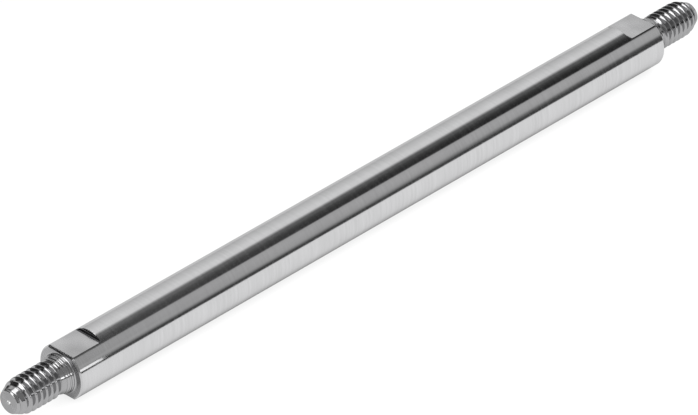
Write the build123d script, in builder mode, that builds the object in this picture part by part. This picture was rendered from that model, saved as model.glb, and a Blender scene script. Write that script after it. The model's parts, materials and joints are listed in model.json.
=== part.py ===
"""A stepped shaft: one ground steel rod with a threaded stud and a pair of spanner flats at each end.

The shaft lies along X with its origin in the middle, and the flats face +Z and -Z. Both ends are alike, so
each profile is drawn for the +X end and mirrored. The studs are modelled at the crests of their M4 thread.
Sizes are in millimetres.
"""

import os

from build123d import *

# Driving dimensions.
OVERALL_LENGTH = 100.0  # tip face to tip face
BODY_DIAMETER = 6.0  # the ground length between the shoulders
SHOULDER_CHAMFER = 0.15  # on the rim of each shoulder face

STUD_LENGTH = 7.1  # shoulder face to tip face
THREAD_DIAMETER = 3.9  # over the crests
TIP_DIAMETER = 2.5  # the flat that is left at the end of the tip taper
TIP_TAPER_LENGTH = 1.5
CENTRE_DIAMETER = 0.5  # the centre mark left in the tip face
CENTRE_DEPTH = 0.15

NECK_DIAMETER = 3.5  # where the thread runs out
NECK_LENGTH = 1.5  # shoulder face to the narrowest point
NECK_ROOT_DIAMETER = 4.3  # where the flare of the neck would meet the shoulder face
NECK_ROOT_FILLET = 0.15

ACROSS_FLATS = 5.0
FLAT_LENGTH = 4.1  # shoulder face to the wall where the cutter stopped
FLAT_FOOT_FILLET = 0.35  # the cutter's corner radius, left between the flat and its wall
FLAT_BEVEL = 0.2  # where a flat meets the shoulder face

CUTTER_CLEARANCE = 1.0  # how far the milling cut runs past the metal

# Places that follow from them.
TIP_X = OVERALL_LENGTH / 2
SHOULDER_X = TIP_X - STUD_LENGTH
NECK_X = SHOULDER_X + NECK_LENGTH
THREAD_X = NECK_X + (THREAD_DIAMETER - NECK_DIAMETER) / 2  # the thread rises from the neck at 45 degrees
WALL_X = SHOULDER_X - FLAT_LENGTH
FLAT_Z = ACROSS_FLATS / 2
CUT_Z = BODY_DIAMETER / 2 + CUTTER_CLEARANCE
CUT_X = TIP_X + CUTTER_CLEARANCE

with BuildPart() as shaft:
    # Turned: body, shoulders, flared necks, studs, tapered tips and centre marks, drawn for the +X end.
    with BuildSketch(Plane.XZ) as turned:
        with BuildLine():
            Polyline(
                (0, 0),
                (0, BODY_DIAMETER / 2),
                (SHOULDER_X, BODY_DIAMETER / 2),
                (SHOULDER_X, NECK_ROOT_DIAMETER / 2),
                (NECK_X, NECK_DIAMETER / 2),
                (THREAD_X, THREAD_DIAMETER / 2),
                (TIP_X - TIP_TAPER_LENGTH, THREAD_DIAMETER / 2),
                (TIP_X, TIP_DIAMETER / 2),
                (TIP_X, CENTRE_DIAMETER / 2),
                (TIP_X - CENTRE_DEPTH, 0),
                close=True,
            )
        make_face()
        neck_root = turned.vertices().sort_by_distance((SHOULDER_X, NECK_ROOT_DIAMETER / 2))[0]
        fillet(neck_root, radius=NECK_ROOT_FILLET)
        shoulder_rim = turned.vertices().sort_by_distance((SHOULDER_X, BODY_DIAMETER / 2))[0]
        chamfer(shoulder_rim, length=SHOULDER_CHAMFER)
        mirror(about=Plane.YZ)
    revolve(axis=Axis.X)

    # Milled: the flats, as one cut seen from the side, mirrored below the axis and to the other end.
    with BuildSketch(Plane.XZ) as milled:
        with BuildLine():
            Polyline(
                (WALL_X, CUT_Z),
                (WALL_X, FLAT_Z),
                (CUT_X, FLAT_Z),
                (CUT_X, CUT_Z),
                close=True,
            )
        make_face()
        foot = milled.vertices().sort_by_distance((WALL_X, FLAT_Z))[0]
        fillet(foot, radius=FLAT_FOOT_FILLET)
        mirror(about=Plane.XZ)
        mirror(about=Plane.YZ)
    extrude(amount=CUT_Z, both=True, mode=Mode.SUBTRACT)

    # A bevel takes the sharp edge off each flat where it meets the shoulder face.
    for shoulder_x in (SHOULDER_X, -SHOULDER_X):
        flat_ends = shaft.edges().filter_by(Axis.Y).filter_by_position(Axis.X, shoulder_x, shoulder_x)
        chamfer(flat_ends, length=FLAT_BEVEL)

shaft.part.label = "shaft"

os.makedirs("parts", exist_ok=True)
export_step(shaft.part, "parts/shaft.step")
print("shaft volume", round(shaft.part.volume, 1), "mm3, size", shaft.part.bounding_box().size)
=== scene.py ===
# %% [markdown]
# # A stepped shaft of ground steel
# The part is one slim steel rod. Its long middle is ground round and bright. Each end has two flats for a
# spanner, a shoulder, and a short threaded stud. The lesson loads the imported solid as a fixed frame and
# dresses it: a finer mesh with the real thread stands for the plain solid, inside exactly the same box.

# %% Load the frame
import json
import math
import bpy
import numpy as np
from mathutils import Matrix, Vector


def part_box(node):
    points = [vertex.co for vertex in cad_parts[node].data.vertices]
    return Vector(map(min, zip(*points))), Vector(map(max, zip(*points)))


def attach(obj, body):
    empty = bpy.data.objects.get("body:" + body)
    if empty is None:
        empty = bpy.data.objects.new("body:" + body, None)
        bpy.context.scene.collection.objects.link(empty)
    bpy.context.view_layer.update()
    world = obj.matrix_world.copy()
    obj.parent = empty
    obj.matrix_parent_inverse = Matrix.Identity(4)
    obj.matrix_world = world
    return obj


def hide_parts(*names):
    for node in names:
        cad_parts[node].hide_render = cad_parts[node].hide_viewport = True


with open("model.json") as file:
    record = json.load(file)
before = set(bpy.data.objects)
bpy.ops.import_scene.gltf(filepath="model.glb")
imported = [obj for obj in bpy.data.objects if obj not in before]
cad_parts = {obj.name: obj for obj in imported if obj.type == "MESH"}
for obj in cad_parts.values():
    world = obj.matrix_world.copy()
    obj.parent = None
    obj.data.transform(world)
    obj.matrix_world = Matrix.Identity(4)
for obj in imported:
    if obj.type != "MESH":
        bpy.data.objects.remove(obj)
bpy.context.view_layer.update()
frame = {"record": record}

# %% [markdown]
# ## Sizes
# Nothing is measured twice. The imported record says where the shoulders, studs and flats are, so these sizes
# are read from it. The few that the record doesn't hold, such as the neck behind each shoulder, are written
# here in millimetres, as a turner would read them from the drawing.

# %% Read the sizes
MM = 0.001
mounts = {mount["name"]: mount for mount in frame["record"]["mounts"]}
BODY_RADIUS = mounts["ground_body"]["dims"]["r_mm"]
STUD_RADIUS = mounts["right_stud"]["dims"]["r_mm"]
SHOULDER_X = mounts["right_shoulder"]["pos_m"][0] / MM
FLAT_HEIGHT = mounts["right_flat_top"]["pos_m"][2] / MM
TIP_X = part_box("shaft")[1].x / MM
FLAT_LENGTH = 4.1          # from the shoulder to the wall where the cutter stopped
FLAT_FOOT_FILLET = 0.35    # the cutter's corner, left at the foot of the wall
FLAT_BEVEL = 0.2           # where a flat meets the shoulder
SHOULDER_CHAMFER = 0.15
NECK_ROOT_RADIUS = 2.265   # where the root fillet leaves the shoulder face
NECK_ROOT_FILLET = 0.15
NECK_FLARE_FROM = 0.111    # from the shoulder to where the root fillet meets the flare
NECK_WAIST_RADIUS = 1.75
NECK_LENGTH = 1.5          # from the shoulder to the waist
THREAD_START = 1.7
TIP_RADIUS = 1.25
TIP_TAPER_LENGTH = 1.5
TIP_BREAK = 0.03           # the rounding on the rim of the tip face
CENTRE_RADIUS = 0.25
CENTRE_DEPTH = 0.15
EDGE_BREAK = 0.04          # how far a hand-broken edge is rounded
STUD_LENGTH = TIP_X - SHOULDER_X
WALL_X = SHOULDER_X - FLAT_LENGTH
print(f"body {2 * BODY_RADIUS:g}, studs {2 * STUD_RADIUS:g} x {STUD_LENGTH:.2f}, shoulders at {SHOULDER_X:g}")

# %% [markdown]
# ## The shape as rings
# A turned part is a row of rings along its axis, so the mesh is built as rings of the same number of
# points, joined by quads. Where a flat is milled, the ring's top and bottom points drop onto the flat and
# one point stays on each corner of the cut, so the corner is a clean line all the way. A subdivision
# surface would round such corners, and a boolean would leave long thin triangles, so rings are the better
# way for this part.

# %% One ring
ACROSS = 22    # points over each flat, from +Y to -Y on top
ROUND = 50     # points over each round side between the flats
COLUMNS = 2 * (ACROSS + ROUND)
top = slice(0, ACROSS)
bottom = slice(ACROSS + ROUND, 2 * ACROSS + ROUND)


def column_angles(corner):
    """Angles from +Y towards +Z, in degrees, with a narrow gap at each of the four corners of the flats."""
    gap = math.degrees(EDGE_BREAK / BODY_RADIUS)
    over = np.linspace(corner + gap, 180 - corner - gap, ACROSS)
    down = np.linspace(180 - corner, 180 + corner, ROUND)
    return np.concatenate([over, down, over + 180, down + 180])


def corner_angle(height, radius=BODY_RADIUS):
    """Where a flat at this height meets the round, in degrees."""
    return math.degrees(math.asin(height / radius))


def round_ring(x, radius, angles):
    """A ring on the round; x and radius may each be one number or one for each column."""
    rad = np.radians(angles)
    return np.stack([np.broadcast_to(x, rad.shape), radius * np.cos(rad), radius * np.sin(rad)], axis=1)


def flat_ring(x, radius, height):
    """A ring with its top and bottom cut flat at the height, and a small break on each corner."""
    ring = round_ring(x, radius, column_angles(corner_angle(height, radius)))
    half = math.sqrt(radius**2 - height**2) - EDGE_BREAK
    ring[top, 1], ring[top, 2] = np.linspace(half, -half, ACROSS), height
    ring[bottom, 1], ring[bottom, 2] = np.linspace(-half, half, ACROSS), -height
    return ring


widest = math.radians(2 * corner_angle(FLAT_HEIGHT + FLAT_FOOT_FILLET) / ROUND) * BODY_RADIUS
print(f"{COLUMNS} columns, the widest is {widest:.2f} mm")

# %% [markdown]
# ## The ground body and its flats
# The body runs plain to the wall where the milling cutter stopped. The cutter's rounded corner leaves a
# fillet at the foot of that wall. The flat then runs out to a small bevel at the shoulder. Each band of
# quads carries the name of its finish, so the materials can follow the machining.

# %% Rings from the middle to the shoulder
BODY_ROWS, FILLET_ROWS, FLAT_ROWS = 27, 11, 9
BLEND = 0.8    # mm before the wall; from here the rings follow the wall's edge
rings, finishes = [], []


def add_ring(ring, finish):
    """Adds a ring; finish names the band between it and the ring before it."""
    rings.append(ring)
    finishes.append(finish)


wall_top = FLAT_HEIGHT + FLAT_FOOT_FILLET
wall_corner = corner_angle(wall_top)
for x in np.linspace(0, WALL_X - BLEND, BODY_ROWS):
    add_ring(round_ring(x, BODY_RADIUS, column_angles(wall_corner)), "ground")
# The wall's upper edge is broken by two rings: back from the wall by the cut, then down it by the drop.
for cut, drop, lean, finish in ((EDGE_BREAK, 0, BLEND / 2, "ground"), (0, EDGE_BREAK, BLEND / 4, "milled")):
    x = np.full(COLUMNS, WALL_X - lean)
    x[top] = x[bottom] = WALL_X - cut
    ring = round_ring(x, BODY_RADIUS, column_angles(wall_corner))
    for part in (top, bottom):
        height = np.maximum(np.abs(ring[part, 2]) - drop, wall_top + drop / 4)
        ring[part, 2] = np.sign(ring[part, 2]) * height
    add_ring(ring, finish)
for turn in np.radians(np.linspace(0, 90, FILLET_ROWS)):
    x = WALL_X + FLAT_FOOT_FILLET * (1 - math.cos(turn))
    add_ring(flat_ring(x, BODY_RADIUS, wall_top - FLAT_FOOT_FILLET * math.sin(turn)), "wall")
for x in np.linspace(WALL_X + FLAT_FOOT_FILLET, SHOULDER_X - FLAT_BEVEL, FLAT_ROWS)[1:]:
    add_ring(flat_ring(x, BODY_RADIUS, FLAT_HEIGHT), "milled")
bevel_start = FLAT_BEVEL - SHOULDER_CHAMFER    # the bevel is deeper than the chamfer by this
add_ring(flat_ring(SHOULDER_X - SHOULDER_CHAMFER, BODY_RADIUS, FLAT_HEIGHT - bevel_start), "milled")
add_ring(flat_ring(SHOULDER_X, BODY_RADIUS - SHOULDER_CHAMFER, FLAT_HEIGHT - FLAT_BEVEL), "edge")
print(len(rings), "rings to the shoulder")

# %% [markdown]
# ## The thread
# The stud carries an M4 thread with the standard 60 degree form: the flanks rise 1 mm for each 0.577 mm
# along the axis, the crest is about an eighth of the pitch wide, and the depth is 0.613 of the pitch. A
# screw modifier could sweep the profile round, but its ends would stick out of the taper and stop dead at
# the neck. Here each point of a ring takes the lesser of two radii: the turned blank and the thread's
# groove. The groove then fades out over the neck and runs off the tapered tip by itself, as the cutting die
# leaves it.

# %% Radius of the stud
PITCH = 0.7
FLANK_ANGLE = 30           # degrees, half of the 60 degree form
THREAD_DEPTH = 0.613 * PITCH
CREST_HALF = 0.058         # half the crest, a little wider than standard because the die rolls it
CORNER_ROUNDING = 0.05     # crests and roots
BLANK_ROUNDING = 0.02      # where the groove meets the neck and the tip
TIP_BITE, TIP_BITE_FROM, TIP_BITE_OVER = 0.2, 2.0, 1.6    # the die bites deeper as it nears the tip
RUNOUT_FROM, RUNOUT_TO = 0.75, 1.75    # from the shoulder: no groove before the first, full after the second
RUNOUT_LIFT, RUNOUT_CURVE = 0.35, 1.5    # how far out of the metal the groove ends, and how it gets there
CREST_AT, CREST_ANGLE = 1.77, 149.8    # one crest: its distance from the shoulder, at this angle
NECK_RIDGES = ((0.19, 0.020), (0.45, 0.028), (0.64, 0.022), (0.97, 0.03))    # distance and height
RIDGE_HALF = 0.045         # half the width of a ridge


def blank_radius(along):
    """The turned blank: flared neck, stud and tapered tip, with the ridges that the neck tool left."""
    root = NECK_ROOT_RADIUS - math.sqrt(NECK_ROOT_FILLET**2 - (NECK_ROOT_FILLET - NECK_FLARE_FROM) ** 2)
    stations = [NECK_FLARE_FROM, NECK_LENGTH, THREAD_START, STUD_LENGTH - TIP_TAPER_LENGTH, STUD_LENGTH]
    radius = np.interp(along, stations, [root, NECK_WAIST_RADIUS, STUD_RADIUS, STUD_RADIUS, TIP_RADIUS])
    for at, height in NECK_RIDGES:
        radius = radius + height * np.exp(-(((along - at) / RIDGE_HALF) ** 2))
    return radius


def soft_min(a, b, width):
    """The lesser of a and b, with the corner between them rounded over the width."""
    mix = np.clip(0.5 + 0.5 * (b - a) / width, 0, 1)
    return b + (a - b) * mix - width * mix * (1 - mix)


def groove_radius(along, angles):
    """The thread's own surface, right-handed, as if the blank were endless."""
    turns = (along - CREST_AT) / PITCH - (angles - CREST_ANGLE) / 360
    from_crest = np.abs(turns - np.round(turns)) * PITCH
    flank = STUD_RADIUS - (from_crest - CREST_HALF) / math.tan(math.radians(FLANK_ANGLE))
    rounded = soft_min(STUD_RADIUS, flank, CORNER_ROUNDING)
    groove = -soft_min(-rounded, -(STUD_RADIUS - THREAD_DEPTH), CORNER_ROUNDING)
    return groove - TIP_BITE * np.clip((along - STUD_LENGTH + TIP_BITE_FROM) / TIP_BITE_OVER, 0, 1)


def stud_radius(along, angles):
    """The blank with the groove cut into it; the groove is lifted out of the metal over the neck."""
    fade = np.clip((RUNOUT_TO - along) / (RUNOUT_TO - RUNOUT_FROM), 0, 1)
    lift = (THREAD_DEPTH + RUNOUT_LIFT) * fade**RUNOUT_CURVE
    return soft_min(blank_radius(along), groove_radius(along, angles) + lift, BLANK_ROUNDING)


print(f"thread depth {THREAD_DEPTH:.3f} mm, {(STUD_LENGTH - THREAD_START) / PITCH:.1f} turns")

# %% [markdown]
# The columns are unevenly spaced where the flats are, and a thread looks best with even ones. They move
# from one spacing to the other over the shoulder face and the neck, a small step at each ring.

# %% Rings from the shoulder to the tip
ROWS_PER_PITCH = 22
NECK_FROM, NECK_TO, NECK_STEP = 0.14, 0.8, 0.03
FACE_RING = 0.12    # mm outside the neck's root: one more ring, which keeps the quads of the face even
LAST_ROW = 0.05     # mm before the tip face, where the evenly spaced thread rows end
even = 90 + (np.arange(COLUMNS) - (ACROSS - 1) / 2) * 360 / COLUMNS
uneven = column_angles(corner_angle(FLAT_HEIGHT - FLAT_BEVEL, BODY_RADIUS - SHOULDER_CHAMFER))


def spaced(share):
    """Column angles between the uneven spacing (0) and the even one (1)."""
    return uneven + (even - uneven) * share


def stud_ring(along, angles):
    """A ring on the stud, at a distance along from the shoulder."""
    return round_ring(SHOULDER_X + along, stud_radius(along, angles), angles)


add_ring(round_ring(SHOULDER_X, NECK_ROOT_RADIUS + FACE_RING, spaced(0.3)), "face")
for turn, share in ((0, 0.5), (25, 0.6), (50, 0.7), (75, 0.8)):    # the root fillet, in degrees
    along = NECK_ROOT_FILLET * (1 - math.cos(math.radians(turn)))
    radius = NECK_ROOT_RADIUS - NECK_ROOT_FILLET * math.sin(math.radians(turn))
    add_ring(round_ring(SHOULDER_X + along, radius, spaced(share)), "turned" if turn else "face")
neck_rows = np.arange(NECK_FROM, NECK_TO, NECK_STEP)
for along, share in zip(neck_rows, 0.85 + 0.03 * np.arange(len(neck_rows))):
    add_ring(stud_ring(along, spaced(min(1.0, share))), "turned")
thread_rows = np.arange(neck_rows[-1] + NECK_STEP, STUD_LENGTH - LAST_ROW, PITCH / ROWS_PER_PITCH)
for along in thread_rows:
    add_ring(stud_ring(along, even), "thread")
add_ring(stud_ring(STUD_LENGTH - TIP_BREAK, even), "thread")
add_ring(round_ring(TIP_X, TIP_RADIUS - TIP_BREAK, even), "turned")
for radius in (1.0, 0.75, 0.5, CENTRE_RADIUS):
    add_ring(round_ring(TIP_X, radius, even), "face")
for share in (0.8, 0.4):
    add_ring(round_ring(TIP_X - CENTRE_DEPTH, CENTRE_RADIUS * share, even), "mark")
print(len(rings), "rings from the middle to the tip,", len(thread_rows), "of them on the thread")

# %% [markdown]
# ## One closed mesh
# The other half is the same half turned end for end about the upright axis, as the same tool set would make
# it, so its thread is right-handed too. Both halves share the middle ring. A fan closes each centre mark.

# %% Join the rings
FINISHES = ["ground", "milled", "wall", "edge", "turned", "thread", "face", "mark"]
half = np.array(rings)


def turned_about(grid):
    """The half turned end for end: x and y change sign, and the columns are put back in the same order."""
    turned = grid * np.array([-1.0, -1.0, 1.0])
    order = np.concatenate([np.arange(ACROSS)[::-1], np.arange(COLUMNS - 1, COLUMNS - 1 - ROUND, -1),
                            np.arange(ACROSS + ROUND, 2 * ACROSS + ROUND)[::-1],
                            np.arange(ACROSS, ACROSS + ROUND)[::-1]])
    return turned[:, order]


other = turned_about(half)
assert np.abs(other[0] - half[0]).max() < 1e-9
grid = np.concatenate([other[:0:-1], half])
band_finish = [finishes[k] for k in range(len(half) - 1, 0, -1)] + finishes[1:]
row, column = np.meshgrid(np.arange(len(grid) - 1), np.arange(COLUMNS), indexing="ij")
next_column = (column + 1) % COLUMNS
quads = np.stack([row * COLUMNS + column, (row + 1) * COLUMNS + column,
                  (row + 1) * COLUMNS + next_column, row * COLUMNS + next_column], axis=-1).reshape(-1, 4)
points = np.concatenate([grid.reshape(-1, 3), [[CENTRE_DEPTH - TIP_X, 0, 0], [TIP_X - CENTRE_DEPTH, 0, 0]]])
first, last = len(points) - 2, len(points) - 1
start = (len(grid) - 1) * COLUMNS
fans = [(first, k, (k + 1) % COLUMNS) for k in range(COLUMNS)]
fans += [(last, start + (k + 1) % COLUMNS, start + k) for k in range(COLUMNS)]
print("mirror check passed,", len(points), "points,", 2 * len(quads) + len(fans), "triangles")

# %% Make the mesh
in_flat = np.zeros(COLUMNS, bool)
in_flat[top] = in_flat[bottom] = True
in_flat[[ACROSS + ROUND - 1, COLUMNS - 1]] = True    # the narrow break beside each corner goes with the flat
slots = np.zeros((len(grid) - 1, COLUMNS), int)
for k, finish in enumerate(band_finish):
    slots[k] = FINISHES.index(finish)
    if finish in ("milled", "wall"):
        slots[k, ~in_flat] = FINISHES.index("ground")
mesh = bpy.data.meshes.new("stepped_shaft")
mesh.from_pydata((points * MM).tolist(), [], quads.tolist() + fans)
material_slots = np.concatenate([slots.ravel(), np.full(len(fans), FINISHES.index("mark"))])
mesh.polygons.foreach_set("material_index", material_slots.astype(np.int32))
mesh.polygons.foreach_set("use_smooth", np.ones(len(mesh.polygons), bool))
mesh.update()
mesh.validate()
shaft = bpy.data.objects.new("stepped_shaft", mesh)
bpy.context.scene.collection.objects.link(shaft)
volume_sign = sum(p.normal.dot(p.center) for p in mesh.polygons)
print("normals point", "out" if volume_sign > 0 else "in")

# %% [markdown]
# ## Hard and soft edges
# A machined edge is hard, and a ground round is smooth. Edges where two faces meet at more than 12 degrees
# are marked sharp, except on the neck and the thread, which their tools leave rounded.

# %% Mark the sharp edges
SHARP_ANGLE = math.radians(12)
mesh.set_sharp_from_angle(angle=SHARP_ANGLE)
loop_edges = np.zeros(len(mesh.loops), np.int32)
mesh.loops.foreach_get("edge_index", loop_edges)
loop_totals = np.zeros(len(mesh.polygons), np.int32)
mesh.polygons.foreach_get("loop_total", loop_totals)
smooth_slots = [FINISHES.index("thread"), FINISHES.index("turned")]
on_smooth = np.repeat(np.isin(material_slots, smooth_slots), loop_totals)
sharp = np.zeros(len(mesh.edges), bool)
mesh.attributes["sharp_edge"].data.foreach_get("value", sharp)
sharp[loop_edges[on_smooth]] = False
mesh.attributes["sharp_edge"].data.foreach_set("value", sharp)
print(int(sharp.sum()), "sharp edges")

# %% [markdown]
# ## Colours and nodes
# Colours are written as sRGB hex values, as a colour card gives them, and one function turns them to the
# linear values that Blender works in. One small function adds a node, sets it and links it.

# %% Two helpers


def colour(hex_value):
    """An sRGB hex colour as linear RGBA."""
    parts = [int(hex_value[k:k + 2], 16) / 255 for k in (1, 3, 5)]
    return (*[p / 12.92 if p <= 0.04045 else ((p + 0.055) / 1.055) ** 2.4 for p in parts], 1.0)


def add(tree, kind, inputs=None, **settings):
    """Adds a node. An input is a plain value, or a link given as (node, output name)."""
    node = tree.nodes.new(kind)
    for name, value in settings.items():
        setattr(node, name, value)
    for name, value in (inputs or {}).items():
        if isinstance(value, tuple) and isinstance(value[0], bpy.types.Node):
            tree.links.new(value[0].outputs[value[1]], node.inputs[name])
        else:
            node.inputs[name].default_value = value
    return node


print("bright steel", [round(v, 3) for v in colour("#D4D4D5")])

# %% [markdown]
# ## Steel, as each tool leaves it
# The rod is one stainless steel, so every finish differs in its marks, and its tint differs only by painted
# shade or highlight. A metal has no diffuse colour: it shows its surroundings, and fine marks across the
# surface blur them in one direction. Real grinding lines are about 0.01 mm wide, far too fine to show, so
# they
# are drawn 0.25 mm wide, and the turning and milling lines about 0.1 mm wide. Darker tints are painted shade:
# on the rougher milled, broken and faced cuts they stand for light trapped in small hollows, on the neck and
# thread for the shade in their grooves, and on the wall for the dark that it reflects.

# %% A finish with fine lines
NOISE_LOW, NOISE_HIGH = 0.3, 0.7    # nearly all of a noise texture lies between these
DRIFT_SIZE = 3.0                    # mm over which the grey of a finish drifts


def steel(name, tint, roughness, anisotropic, line_width, line_length, depth, cloud=0.02):
    """Steel with fine lines across the axis; sizes in mm. cloud is how much the grey drifts."""
    material = bpy.data.materials.new(name)
    material.use_nodes = True
    tree = material.node_tree
    tree.nodes.clear()
    place = add(tree, "ShaderNodeTexCoord")
    fine, coarse = 1 / (line_width * MM), 1 / (line_length * MM)
    lines = add(tree, "ShaderNodeMapping", {"Vector": (place, "Object"), "Scale": (fine, coarse, coarse)})
    noise = add(tree, "ShaderNodeTexNoise",
                {"Vector": (lines, "Vector"), "Scale": 1.0, "Detail": 3.0, "Roughness": 0.6})
    drift = add(tree, "ShaderNodeTexNoise",
                {"Vector": (place, "Object"), "Scale": 1 / (DRIFT_SIZE * MM), "Detail": 1.0})
    dull, mark, patch = [
        add(tree, "ShaderNodeMapRange", {"Value": (texture, "Fac"), "From Min": NOISE_LOW,
                                         "From Max": NOISE_HIGH, "To Min": low, "To Max": high})
        for texture, low, high in ((noise, roughness * 0.8, roughness * 1.25), (noise, 0.96, 1.04),
                                   (drift, 1 - cloud, 1 + cloud))]
    both = add(tree, "ShaderNodeMath", {0: (mark, "Result"), 1: (patch, "Result")}, operation="MULTIPLY")
    shade = add(tree, "ShaderNodeVectorMath", {0: colour(tint)[:3], "Scale": (both, "Value")},
                operation="SCALE")
    bump = add(tree, "ShaderNodeBump", {"Height": (noise, "Fac"), "Distance": depth * MM, "Strength": 1.0})
    tangent = add(tree, "ShaderNodeTangent", direction_type="RADIAL", axis="X")
    shader = add(tree, "ShaderNodeBsdfPrincipled", {
        "Base Color": (shade, "Vector"), "Metallic": 1.0, "Roughness": (dull, "Result"),
        "Specular Tint": colour("#D8D8D8"),
        "Anisotropic": anisotropic, "Normal": (bump, "Normal"), "Tangent": (tangent, "Tangent")})
    output = add(tree, "ShaderNodeOutputMaterial")
    tree.links.new(shader.outputs["BSDF"], output.inputs["Surface"])
    return material


materials = {
    # name, tint, roughness, anisotropy, line width, line length, line depth
    # Ground: the brightest; fine rings round the rod spread what it shows a little along it.
    "ground": steel("ground stainless steel", "#D3D3D4", 0.1, 0.3, 0.25, 6.0, 0.0008),
    # Milled: satin, with faint clouds where the cutter passed.
    "milled": steel("milled stainless steel flat", "#C4C4C5", 0.26, 0.2, 0.12, 5.0, 0.0012, cloud=0.16),
    # The wall: cut by the side of the cutter and close to a mirror; its dark tint is painted shade.
    "wall": steel("wall and fillet left by the milling cutter", "#707072", 0.14, 0.0, 0.12, 2.0, 0.0003),
    # Broken edges: a narrow satin line.
    "edge": steel("broken edge of stainless steel", "#C8C8C9", 0.2, 0.0, 0.2, 2.0, 0.0006),
    # Turned and die-cut: glossy, so each ridge carries its own small highlight. Their darker tints are
    # painted shade.
    "turned": steel("turned stainless steel neck, tinted with painted shade", "#B2B2B3", 0.13, 0.0, 0.1, 3.0, 0.001),
    "thread": steel("die-cut stainless steel thread, tinted with painted shade", "#ACACAD", 0.11, 0.0, 0.1, 2.0, 0.001),
    # Faced: dull grey, with rings too fine to see one by one.
    "face": steel("faced stainless steel end", "#A6A6A7", 0.3, 0.7, 0.08, 0.08, 0.003, cloud=0.1),
    # Centre mark: pressed by the lathe centre; a painted highlight makes it brighter than the face round it.
    "mark": steel("centre mark of the lathe, with painted highlight", "#F2F2F2", 0.3, 0.0, 0.1, 0.1, 0.0004),
}
for finish in FINISHES:
    mesh.materials.append(materials[finish])
print(len(mesh.materials), "finishes of one steel")

# %% [markdown]
# ## Onto the frame
# The dressed rod rides on the one body of the part and stands for its plain solid.

# %% Tell the frame
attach(shaft, "root")
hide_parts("shaft")
print("stepped_shaft rides on root")

# %% [markdown]
# ## A white sweep
# A small bright part is laid on a white sweep. The eye and the metal's reflections see it as plain white
# with a soft shadow where the rod nearly touches it; all other light meets it as matt white paper. The
# shadow comes from an Ambient Occlusion node, because a lamp strong enough to cast one would also show in
# the steel.

# %% The floor
FLOOR_HALF = 2.0       # m
FLOOR_GAP = 0.02       # mm below the rod, so the two never touch
SHADOW_REACH = 9.0     # mm from the rod
floor_mesh = bpy.data.meshes.new("white_sweep")
floor_z = -(BODY_RADIUS + FLOOR_GAP) * MM
corners = ((-1, -1), (1, -1), (1, 1), (-1, 1))
floor_mesh.from_pydata([(FLOOR_HALF * x, FLOOR_HALF * y, floor_z) for x, y in corners], [], [(0, 1, 2, 3)])
floor = bpy.data.objects.new("white_sweep", floor_mesh)
bpy.context.scene.collection.objects.link(floor)
sweep = bpy.data.materials.new("matt white paper")
sweep.use_nodes = True
tree = sweep.node_tree
tree.nodes.clear()
path = add(tree, "ShaderNodeLightPath")
matt = add(tree, "ShaderNodeBsdfDiffuse", {"Color": colour("#F4F4F4")})
openness = add(tree, "ShaderNodeAmbientOcclusion", {"Distance": SHADOW_REACH * MM}, samples=12)
mirrored = add(tree, "ShaderNodeMath", {0: (path, "Is Glossy Ray"), 1: (path, "Is Transmission Ray")},
               operation="ADD")
# How bright the floor is, from the spot under the rod out to where it is open: the steel sees the deep shadow
# under itself, and the eye sees a faint one. Just over 1 keeps the open floor pure white.
in_mirror, to_eye = [
    add(tree, "ShaderNodeMapRange", {"Value": (openness, "AO"), "From Min": 0.0, "From Max": open_at,
                                     "To Min": shaded, "To Max": lit})
    for open_at, shaded, lit in ((0.5, 0.0, 0.97), (0.42, 0.78, 1.04))]
strength = add(tree, "ShaderNodeMix", {"Factor": (mirrored, "Value"), "A": (to_eye, "Result"),
                                       "B": (in_mirror, "Result")})
glow = add(tree, "ShaderNodeEmission", {"Color": colour("#FFFFFF"), "Strength": (strength, "Result")})
seen = add(tree, "ShaderNodeMath", {0: (mirrored, "Value"), 1: (path, "Is Camera Ray")}, operation="ADD")
mixed = add(tree, "ShaderNodeMixShader", {0: (seen, "Value"), 1: (matt, "BSDF"), 2: (glow, "Emission")})
add(tree, "ShaderNodeOutputMaterial", {"Surface": (mixed, "Shader")})
floor_mesh.materials.append(sweep)
print("floor at", round(floor_z / MM, 3), "mm")

# %% [markdown]
# ## Studio light
# A bright bar shows long soft panels laid along it. The light is a plain white dome for matt things. For
# shiny things the dome has the panels that a studio has: a white one behind, a dark gap overhead where the
# stand is, a grey one in front and a dark line at the horizon. They are described by the angle from
# overhead, measured square to the rod and positive towards the back. Beyond the left end the studio is dark
# behind, grey in front, and has one window between. The thread's flanks, the bevel and the wall of the flat
# face that way, and that gives them their contrast.

# %% The long panels and the left end
# Each stop is (degrees from overhead, brightness), in order round the dome. At the left end it is (the cosine
# across the rod, brightness).
PANELS = ((-180, 1.0), (-92, 1.0), (-88.5, 0.06), (-80, 0.07), (-76, 0.24), (-69, 0.44), (-60, 0.48),
          (-45, 0.52), (-30, 0.50), (-27, 0.02), (-20, 0.02), (-12, 0.03), (-4, 0.06), (4, 0.12),
          (10, 0.15), (16, 0.45), (21, 0.88), (36, 0.89), (50, 0.81), (67, 0.75), (83, 0.72), (95, 0.7),
          (180, 0.8))
LEFT_PANELS = ((-1, 0.3), (-0.2, 0.3), (-0.1, 3.0), (0.3, 3.0), (0.4, 0.04), (1, 0.04))
world = bpy.data.worlds.new("studio")
bpy.context.scene.world = world
world.use_nodes = True
tree = world.node_tree
tree.nodes.clear()
place = add(tree, "ShaderNodeTexCoord")
axes = add(tree, "ShaderNodeSeparateXYZ", {"Vector": (place, "Generated")})
angle = add(tree, "ShaderNodeMath", {0: (axes, "Y"), 1: (axes, "Z")}, operation="ARCTAN2")
turn = add(tree, "ShaderNodeMath", {0: (angle, "Value"), 1: 1 / (2 * math.pi), 2: 0.5},
           operation="MULTIPLY_ADD")
panels = add(tree, "ShaderNodeValToRGB", {"Fac": (turn, "Value")})
along_y = add(tree, "ShaderNodeMath", {0: (axes, "Y"), 1: 0.5, 2: 0.5}, operation="MULTIPLY_ADD")
left_panels = add(tree, "ShaderNodeValToRGB", {"Fac": (along_y, "Value")})
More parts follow.
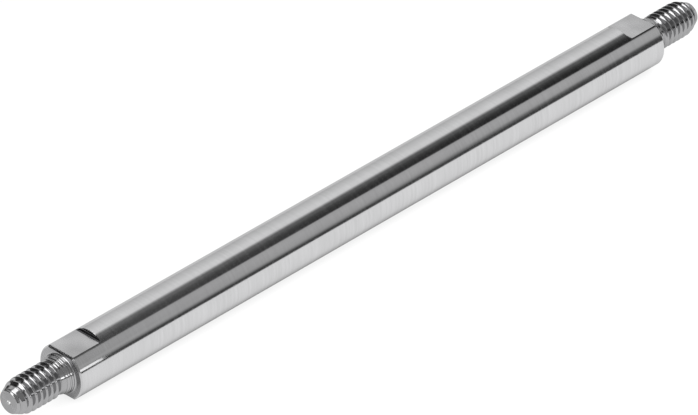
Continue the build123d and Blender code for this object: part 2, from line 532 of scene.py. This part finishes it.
for node, steps, low, high in ((panels, PANELS, -180, 180), (left_panels, LEFT_PANELS, -1, 1)):
    ramp = node.color_ramp
    ramp.elements.remove(ramp.elements[-1])
    for k, (at, level) in enumerate(steps):
        at = (at - low) / (high - low)
        element = ramp.elements.new(at) if k else ramp.elements[0]
        element.position = at
        element.color = (level, level, level, 1)
print(len(PANELS), "steps round the dome,", len(LEFT_PANELS), "beyond the left end")

# %% [markdown]
# The panels aren't quite the same all along. Towards the right the dark line at the horizon widens. Towards
# the left the gap overhead is a little brighter and the front panel greyer. A lamp hangs in the gap, with a
# dark corner behind it, for the surfaces that face partly to the left: the neck and the rounded crests.

# %% What changes from left to right
# A zone is laid on the dome by name, blend and brightness, where all its soft steps overlap. A step is given
# as (input, from, to, value before, value after): "turn" is in degrees from overhead, and X is the cosine to
# the right.
ZONES = (
    ("gap", "ADD", 0.06, (("turn", -29, -26.5, 0, 1), ("turn", 6, 20, 1, 0), ("X", 0.572, 0.612, 1, 0))),
    ("wide_line", "MIX", 0.06, (("turn", -90, -88, 0, 1), ("turn", -74, -60, 1, 0),
                                ("X", 0.606, 0.634, 0, 1))),
    ("lamp", "MIX", 1.1, (("turn", -34, -26, 0, 1), ("turn", 10, 22, 1, 0), ("X", 0.12, 0.2, 0, 1),
                          ("X", 0.46, 0.54, 1, 0))),
    ("dark_corner", "MIX", 0.05, (("turn", 20, 28, 0, 1), ("turn", 84, 89, 1, 0), ("X", 0.02, 0.1, 0, 1),
                                  ("X", 0.30, 0.40, 1, 0))),
    ("grey_left", "MIX", 0.34, (("turn", -64, -58, 0, 1), ("turn", -31, -28, 1, 0),
                                ("X", 0.562, 0.582, 1, 0))),
)
dome = (panels, "Color")
for name, blend, level, steps in ZONES:
    mask = None
    for source, low, high, before, after in steps:
        if source == "turn":
            value, low, high = (turn, "Value"), (low + 180) / 360, (high + 180) / 360
        else:
            value = (axes, source)
        step = add(tree, "ShaderNodeMapRange", {"Value": value, "From Min": low, "From Max": high,
                                                "To Min": before, "To Max": after},
                   interpolation_type="SMOOTHSTEP")
        if mask:
            step = add(tree, "ShaderNodeMath", {0: mask, 1: (step, "Result")}, operation="MULTIPLY")
        mask = (step, 0)
    zone = add(tree, "ShaderNodeMix", {0: mask, 6: dome, 7: (level, level, level, 1.0)}, data_type="RGBA",
               blend_type=blend, label=name)
    dome = (zone, 2)
print(len(ZONES), "zones along the rod")

# %% Put the left end and the dome together
# The window starts just above the horizon, and below it the left end is dark.
BELOW_WINDOW = (0.07, 0.07, 0.07, 1.0)
above, leftness = [
    add(tree, "ShaderNodeMapRange", {"Value": (axes, source), "From Min": low, "From Max": high,
                                     "To Min": before, "To Max": after}, interpolation_type="SMOOTHSTEP")
    for source, low, high, before, after in (("Z", 0.06, 0.12, 0, 1), ("X", -0.25, -0.02, 1, 0))]
window = add(tree, "ShaderNodeMix", {0: (above, "Result"), 6: BELOW_WINDOW, 7: (left_panels, "Color")},
             data_type="RGBA")
whole = add(tree, "ShaderNodeMix", {0: (leftness, "Result"), 6: dome, 7: (window, 2)}, data_type="RGBA")
path = add(tree, "ShaderNodeLightPath")
shiny = add(tree, "ShaderNodeMath", {0: (path, "Is Glossy Ray"), 1: (path, "Is Transmission Ray")},
            operation="ADD")
light = add(tree, "ShaderNodeMix", {0: (shiny, "Value"), 6: colour("#FFFFFF"), 7: (whole, 2)},
            data_type="RGBA")
background = add(tree, "ShaderNodeBackground", {"Color": (light, 2), "Strength": 1.0})
add(tree, "ShaderNodeOutputWorld", {"Surface": (background, "Background")})
print("window to the left, dark behind it")

# %% [markdown]
# A small white card stands close in front of the left end, to draw one bright line along the round beside
# the flat and a dot on each ridge of the neck. It is near, so the line ends sharply where the card does. Its
# half nearer the stud is lit more, because the stud is duller. Only reflections see it.

# %% The small card
CARD_Y = -18.7    # mm
CARDS = (    # name, X from and to, Z from and to, in mm, and strength
    ("card_for_the_stud", (-44.0, -32.4), (2.8, 5.8), 2.8),
    ("card_for_the_body", (-32.4, -28.3), (3.2, 6.0), 1.3),
)
for name, (left, right), (under, over), strength in CARDS:
    card_mesh = bpy.data.meshes.new(name)
    card_mesh.from_pydata([(x * MM, CARD_Y * MM, z * MM) for x, z in
                           ((left, under), (right, under), (right, over), (left, over))],
                          [], [(0, 1, 2, 3)])
    card = bpy.data.objects.new(name, card_mesh)
    bpy.context.scene.collection.objects.link(card)
    card.visible_camera = card.visible_diffuse = card.visible_shadow = False
    card_white = bpy.data.materials.new(name + " lit white")
    card_white.use_nodes = True
    tree = card_white.node_tree
    tree.nodes.clear()
    lit = add(tree, "ShaderNodeEmission", {"Color": colour("#FFFFFF"), "Strength": strength})
    add(tree, "ShaderNodeOutputMaterial", {"Surface": (lit, "Emission")})
    card_mesh.materials.append(card_white)
    print(name, left, right, "mm, strength", strength)

# %% [markdown]
# ## Camera
# A long lens from some way off, above and to the left, keeps the rod almost parallel, so it runs from corner
# to corner of the frame.

# %% The camera
AZIMUTH, ELEVATION = math.radians(-46.153), math.radians(33.357)
DISTANCE, LENS = 0.780835, 395.96      # m and mm
TARGET = (-1.887, 0.0, 0.021)          # mm, the point that the lens aims at
camera_data = bpy.data.cameras.new("long_lens")
camera_data.sensor_width, camera_data.lens = 36.0, LENS
camera = bpy.data.objects.new("camera", camera_data)
bpy.context.scene.collection.objects.link(camera)
back = Vector((math.sin(AZIMUTH) * math.cos(ELEVATION), -math.cos(AZIMUTH) * math.cos(ELEVATION),
               math.sin(ELEVATION)))
camera.location = Vector(TARGET) * MM + back * DISTANCE
camera.rotation_mode = "QUATERNION"
camera.rotation_quaternion = (-back).to_track_quat("-Z", "Y")
bpy.context.scene.camera = camera
bpy.context.scene.view_settings.view_transform = "Standard"
print("camera at", [round(v, 3) for v in camera.location])
